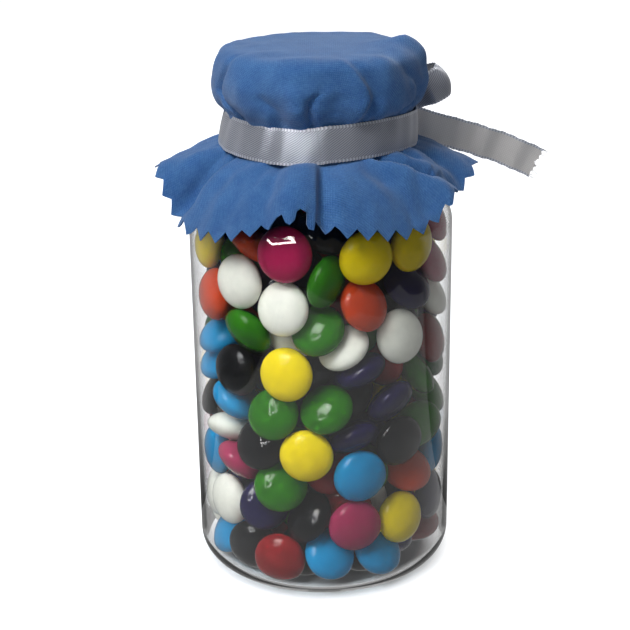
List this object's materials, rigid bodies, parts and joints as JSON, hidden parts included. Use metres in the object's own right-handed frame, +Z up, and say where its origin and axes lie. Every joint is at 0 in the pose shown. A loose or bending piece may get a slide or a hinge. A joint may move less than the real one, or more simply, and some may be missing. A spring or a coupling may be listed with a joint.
{
  "type": "jar of chocolate buttons",
  "caption": "Clear round jar filled with sugar-shelled chocolate buttons in mixed colours, closed by a cap under a pinked cotton cover tied with satin ribbon.",
  "frame": {"origin": "centre of the jar's base, where it stands", "axes": "+Z up the jar's axis; -Y towards the front, opposite the side where the bow is; +X to the right seen from the front"},
  "size_m": [0.11, 0.091, 0.1483],
  "materials": {
    "clear_plastic": "gloss",
    "lid_plastic": "satin",
    "blue_cotton": "matt",
    "silver_satin": "satin",
    "sugar_shell": "gloss"
  },
  "bodies": {
    "root": {"jar": "clear_plastic", "lid": "lid_plastic", "cloth_cover": "blue_cotton", "ribbon": "silver_satin", "chocolate_buttons": "sugar_shell"}
  },
  "joints": []
}
